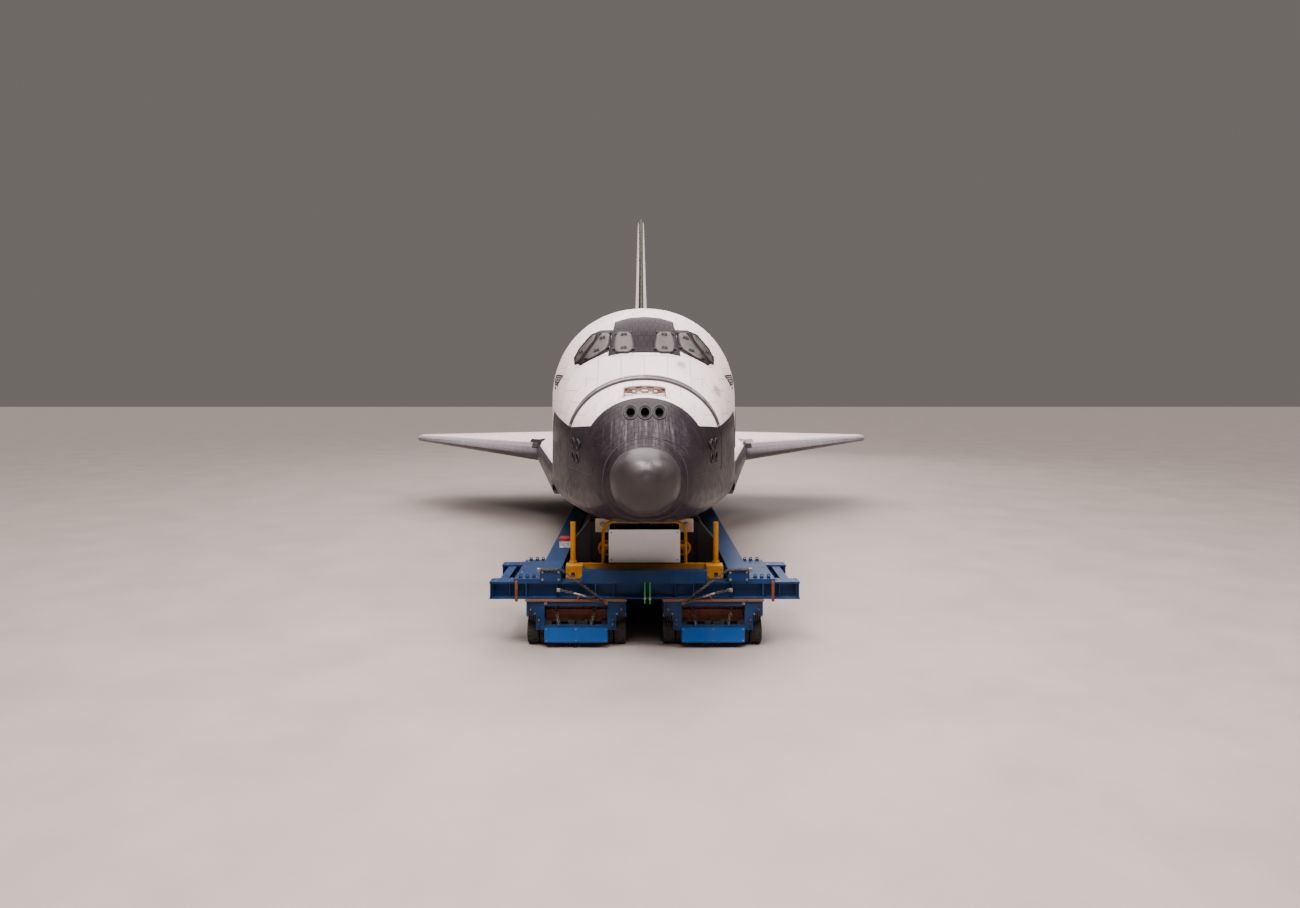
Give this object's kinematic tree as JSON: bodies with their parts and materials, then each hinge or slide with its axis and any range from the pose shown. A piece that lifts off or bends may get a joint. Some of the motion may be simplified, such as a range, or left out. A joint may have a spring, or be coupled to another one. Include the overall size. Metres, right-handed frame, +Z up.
{
  "type": "space shuttle orbiter on an overland transporter",
  "caption": "Winged space shuttle orbiter with covered windows and gear up, held on a blue self-propelled overland transporter with yellow access frame.",
  "frame": {"origin": "on the floor, under the centre of the whole vehicle's box", "axes": "+Z up, nose towards -Y, +X towards the orbiter's port (left) side"},
  "size_m": [23.8, 37.24, 16.74],
  "materials": {
    "white_blanket": "matte",
    "black_tile": "satin",
    "nose_carbon": "satin",
    "edge_carbon": "satin",
    "window_cover": "matte",
    "nozzle_metal": "satin",
    "blue_paint": "satin",
    "navy_paint": "satin",
    "yellow_paint": "satin",
    "board_face": "satin",
    "tyre": "matte"
  },
  "bodies": {
    "root": {"nose_cap": "nose_carbon", "forward_fuselage": "white_blanket", "thruster_module": "white_blanket", "windshield": "window_cover", "mid_fuselage": "white_blanket", "aft_fuselage": "white_blanket", "wing_left": "white_blanket", "wing_right": "white_blanket", "leading_edge_left": "edge_carbon", "leading_edge_right": "edge_carbon", "fin": "white_blanket", "engine_pod_left": "white_blanket", "engine_pod_right": "white_blanket", "pod_nozzle_left": "nozzle_metal", "pod_nozzle_right": "nozzle_metal", "main_engine_top": "nozzle_metal", "main_engine_left": "nozzle_metal", "main_engine_right": "nozzle_metal", "front_cross_beam": "blue_paint", "second_cross_beam": "blue_paint", "rear_cross_beam_1": "blue_paint", "rear_cross_beam_2": "blue_paint", "long_beam_left": "blue_paint", "long_beam_right": "blue_paint", "front_pedestal": "navy_paint", "aft_pedestal_left": "navy_paint", "aft_pedestal_right": "navy_paint", "access_frame": "yellow_paint", "notice_board": "board_face", "wheel_unit_front_left": "blue_paint", "wheel_unit_front_right": "blue_paint", "wheel_unit_rear_left": "blue_paint", "wheel_unit_rear_right": "blue_paint"},
    "side_hatch": {"side_hatch": "white_blanket"},
    "payload_door_left": {"payload_door_left": "white_blanket"},
    "payload_door_right": {"payload_door_right": "white_blanket"},
    "elevon_left_inner": {"elevon_left_inner": "white_blanket"},
    "elevon_left_outer": {"elevon_left_outer": "white_blanket"},
    "elevon_right_inner": {"elevon_right_inner": "white_blanket"},
    "elevon_right_outer": {"elevon_right_outer": "white_blanket"},
    "body_flap": {"body_flap": "black_tile"},
    "rudder_left": {"rudder_left": "white_blanket"},
    "rudder_right": {"rudder_right": "white_blanket"},
    "axle_line_front_left_1": {"axle_line_front_left_1": "tyre"},
    "axle_line_front_left_2": {"axle_line_front_left_2": "tyre"},
    "axle_line_front_left_3": {"axle_line_front_left_3": "tyre"},
    "axle_line_front_left_4": {"axle_line_front_left_4": "tyre"},
    "axle_line_front_right_1": {"axle_line_front_right_1": "tyre"},
    "axle_line_front_right_2": {"axle_line_front_right_2": "tyre"},
    "axle_line_front_right_3": {"axle_line_front_right_3": "tyre"},
    "axle_line_front_right_4": {"axle_line_front_right_4": "tyre"},
    "axle_line_rear_left_1": {"axle_line_rear_left_1": "tyre"},
    "axle_line_rear_left_2": {"axle_line_rear_left_2": "tyre"},
    "axle_line_rear_left_3": {"axle_line_rear_left_3": "tyre"},
    "axle_line_rear_left_4": {"axle_line_rear_left_4": "tyre"},
    "axle_line_rear_right_1": {"axle_line_rear_right_1": "tyre"},
    "axle_line_rear_right_2": {"axle_line_rear_right_2": "tyre"},
    "axle_line_rear_right_3": {"axle_line_rear_right_3": "tyre"},
    "axle_line_rear_right_4": {"axle_line_rear_right_4": "tyre"}
  },
  "joints": [
    {"name": "side_hatch_hinge", "type": "hinge", "parent": "root", "child": "side_hatch", "pos_m": [2.7, -11.42, 4.62], "axis": [0, 1, 0], "range_deg": [0, 90]},
    {"name": "payload_door_left_hinge", "type": "hinge", "parent": "root", "child": "payload_door_left", "pos_m": [2.72, -0.62, 6.6], "axis": [0, 1, 0], "range_deg": [0, 175.5]},
    {"name": "payload_door_right_hinge", "type": "hinge", "parent": "root", "child": "payload_door_right", "pos_m": [-2.72, -0.62, 6.6], "axis": [0, -1, 0], "range_deg": [0, 175.5]},
    {"name": "elevon_left_inner_hinge", "type": "hinge", "parent": "root", "child": "elevon_left_inner", "pos_m": [5.345, 10.62, 3.52], "axis": [1, 0, 0], "range_deg": [-25, 40]},
    {"name": "elevon_left_outer_hinge", "type": "hinge", "parent": "root", "child": "elevon_left_outer", "pos_m": [9.895, 10.62, 3.52], "axis": [1, 0, 0], "range_deg": [-25, 40]},
    {"name": "elevon_right_inner_hinge", "type": "hinge", "parent": "root", "child": "elevon_right_inner", "pos_m": [-5.345, 10.62, 3.52], "axis": [1, 0, 0], "range_deg": [-25, 40]},
    {"name": "elevon_right_outer_hinge", "type": "hinge", "parent": "root", "child": "elevon_right_outer", "pos_m": [-9.895, 10.62, 3.52], "axis": [1, 0, 0], "range_deg": [-25, 40]},
    {"name": "body_flap_hinge", "type": "hinge", "parent": "root", "child": "body_flap", "pos_m": [0, 13.8505, 3.18], "axis": [1, 0, 0], "range_deg": [-22.55, 11.7]},
    {"name": "speed_brake_left_hinge", "type": "hinge", "parent": "root", "child": "rudder_left", "pos_m": [0.3291, 13.7651, 10.95], "axis": [0.0201, -0.5444, -0.8386], "range_deg": [0, 49.3]},
    {"name": "speed_brake_right_hinge", "type": "hinge", "parent": "root", "child": "rudder_right", "pos_m": [-0.3291, 13.7651, 10.95], "axis": [0.0201, 0.5444, 0.8386], "range_deg": [0, 49.3]},
    {"name": "axle_line_front_left_1_spin", "type": "hinge", "parent": "root", "child": "axle_line_front_left_1", "pos_m": [1.68, -15.06, 0.36], "axis": [1, 0, 0], "continuous": true},
    {"name": "axle_line_front_left_2_spin", "type": "hinge", "parent": "root", "child": "axle_line_front_left_2", "pos_m": [1.68, -13.66, 0.36], "axis": [1, 0, 0], "continuous": true},
    {"name": "axle_line_front_left_3_spin", "type": "hinge", "parent": "root", "child": "axle_line_front_left_3", "pos_m": [1.68, -12.26, 0.36], "axis": [1, 0, 0], "continuous": true},
    {"name": "axle_line_front_left_4_spin", "type": "hinge", "parent": "root", "child": "axle_line_front_left_4", "pos_m": [1.68, -10.86, 0.36], "axis": [1, 0, 0], "continuous": true},
    {"name": "axle_line_front_right_1_spin", "type": "hinge", "parent": "root", "child": "axle_line_front_right_1", "pos_m": [-1.68, -15.06, 0.36], "axis": [1, 0, 0], "continuous": true},
    {"name": "axle_line_front_right_2_spin", "type": "hinge", "parent": "root", "child": "axle_line_front_right_2", "pos_m": [-1.68, -13.66, 0.36], "axis": [1, 0, 0], "continuous": true},
    {"name": "axle_line_front_right_3_spin", "type": "hinge", "parent": "root", "child": "axle_line_front_right_3", "pos_m": [-1.68, -12.26, 0.36], "axis": [1, 0, 0], "continuous": true},
    {"name": "axle_line_front_right_4_spin", "type": "hinge", "parent": "root", "child": "axle_line_front_right_4", "pos_m": [-1.68, -10.86, 0.36], "axis": [1, 0, 0], "continuous": true},
    {"name": "axle_line_rear_left_1_spin", "type": "hinge", "parent": "root", "child": "axle_line_rear_left_1", "pos_m": [1.68, 10.18, 0.36], "axis": [1, 0, 0], "continuous": true},
    {"name": "axle_line_rear_left_2_spin", "type": "hinge", "parent": "root", "child": "axle_line_rear_left_2", "pos_m": [1.68, 8.78, 0.36], "axis": [1, 0, 0], "continuous": true},
    {"name": "axle_line_rear_left_3_spin", "type": "hinge", "parent": "root", "child": "axle_line_rear_left_3", "pos_m": [1.68, 7.38, 0.36], "axis": [1, 0, 0], "continuous": true},
    {"name": "axle_line_rear_left_4_spin", "type": "hinge", "parent": "root", "child": "axle_line_rear_left_4", "pos_m": [1.68, 5.98, 0.36], "axis": [1, 0, 0], "continuous": true},
    {"name": "axle_line_rear_right_1_spin", "type": "hinge", "parent": "root", "child": "axle_line_rear_right_1", "pos_m": [-1.68, 10.18, 0.36], "axis": [1, 0, 0], "continuous": true},
    {"name": "axle_line_rear_right_2_spin", "type": "hinge", "parent": "root", "child": "axle_line_rear_right_2", "pos_m": [-1.68, 8.78, 0.36], "axis": [1, 0, 0], "continuous": true},
    {"name": "axle_line_rear_right_3_spin", "type": "hinge", "parent": "root", "child": "axle_line_rear_right_3", "pos_m": [-1.68, 7.38, 0.36], "axis": [1, 0, 0], "continuous": true},
    {"name": "axle_line_rear_right_4_spin", "type": "hinge", "parent": "root", "child": "axle_line_rear_right_4", "pos_m": [-1.68, 5.98, 0.36], "axis": [1, 0, 0], "continuous": true}
  ],
  "couplings": [
    {"joint": "speed_brake_right_hinge", "follows": "speed_brake_left_hinge", "ratio": 1}
  ]
}
